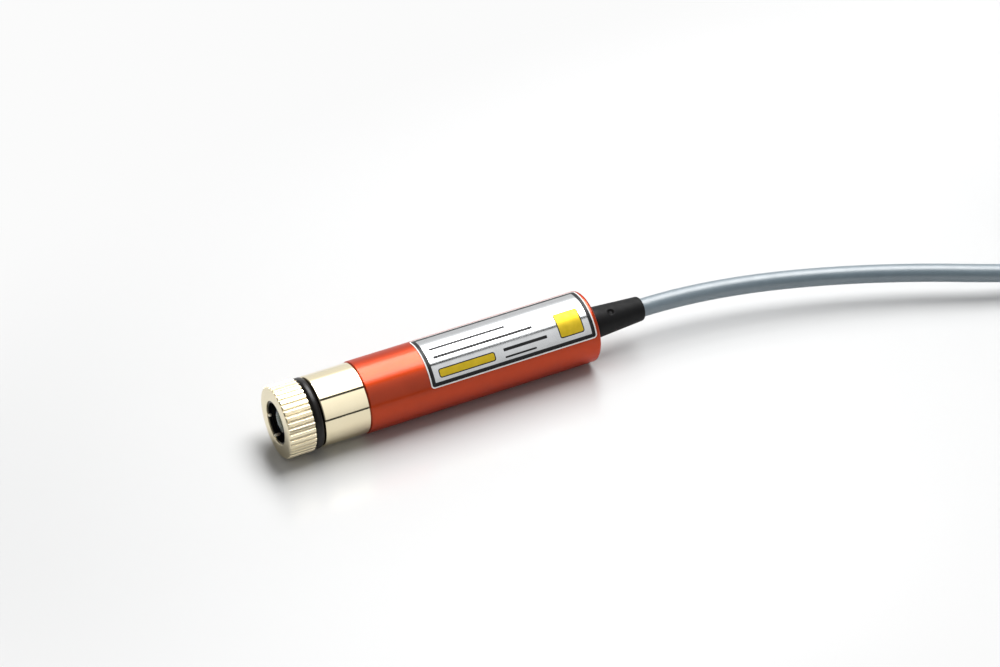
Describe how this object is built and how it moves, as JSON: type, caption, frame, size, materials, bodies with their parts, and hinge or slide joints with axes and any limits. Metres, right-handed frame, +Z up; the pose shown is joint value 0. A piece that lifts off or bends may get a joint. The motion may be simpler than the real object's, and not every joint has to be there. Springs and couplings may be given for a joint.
{
  "type": "laser diode module",
  "caption": "Slim round light source module: anodised barrel, plated head with a knurled screw-adjust focus ring, foil label, tapered strain relief, thin cable and plug.",
  "frame": {"origin": "on the optical axis, at the middle of the cylindrical barrel that a holder clamps", "axes": "+X along the axis from the aperture to the cable, so the beam leaves towards -X; +Y across the barrel, away from the label; +Z up, with the module lying on its side"},
  "size_m": [0.2439, 0.0305, 0.0121],
  "materials": {
    "red_anodised": "satin red-orange anodised aluminium",
    "nickel": "warm satin nickel plating on turned brass",
    "black_rubber": "soft matt black moulded rubber",
    "lens_glass": "coated clear glass",
    "black_anodised": "matt black anodised aluminium",
    "holder_brass": "turned brass",
    "diode_can": "gold-plated steel",
    "window_glass": "clear glass",
    "board_green": "solder-masked glass-fibre board",
    "chip_black": "moulded black epoxy",
    "pot_blue": "moulded blue plastic",
    "capacitor_tan": "tan ceramic",
    "sleeve_clear": "translucent heat-shrunk plastic",
    "lead_red": "red insulated wire",
    "lead_black": "black insulated wire",
    "label_foil": "silver foil label with printed fields",
    "cable_grey": "blue-grey extruded cable jacket",
    "tie_black": "black strap",
    "plug_black": "soft black moulded plastic",
    "plug_nickel": "bright nickel plating"
  },
  "bodies": {
    "module": {"housing": "red_anodised", "head_collar": "nickel", "diode_holder": "holder_brass", "laser_diode": "diode_can", "diode_window": "window_glass", "diode_legs": "diode_can", "clamp_ring": "holder_brass", "driver_board": "board_green", "driver_chip": "chip_black", "trim_pot": "pot_blue", "capacitors": "capacitor_tan", "resistors": "chip_black", "insulating_sleeve": "sleeve_clear", "red_lead": "lead_red", "black_lead": "lead_black", "strain_relief": "black_rubber", "label": "label_foil", "cable_tube": "cable_grey", "cable_hank": "cable_grey", "cable_tail": "cable_grey", "cable_ties": "tie_black", "plug_body": "plug_black", "plug_barrel": "plug_nickel", "plug_insulator": "plug_black", "plug_contact": "plug_nickel"},
    "focus_slide": {"o_ring": "black_rubber"},
    "focus_head": {"focus_ring": "nickel", "lens": "lens_glass", "lens_retainer": "black_anodised"}
  },
  "joints": [
    {"name": "focus_travel", "type": "slide", "parent": "module", "child": "focus_slide", "axis": [-1, 0, 0], "range_m": [0, 0.0015]},
    {"name": "focus_turn", "type": "hinge", "parent": "focus_slide", "child": "focus_head", "pos_m": [-0.03, 0, 0], "axis": [-1, 0, 0], "range_deg": [0, 1080]}
  ],
  "couplings": [
    {"joint": "focus_travel", "follows": "focus_turn", "m_per_rad": 0.00007957}
  ]
}
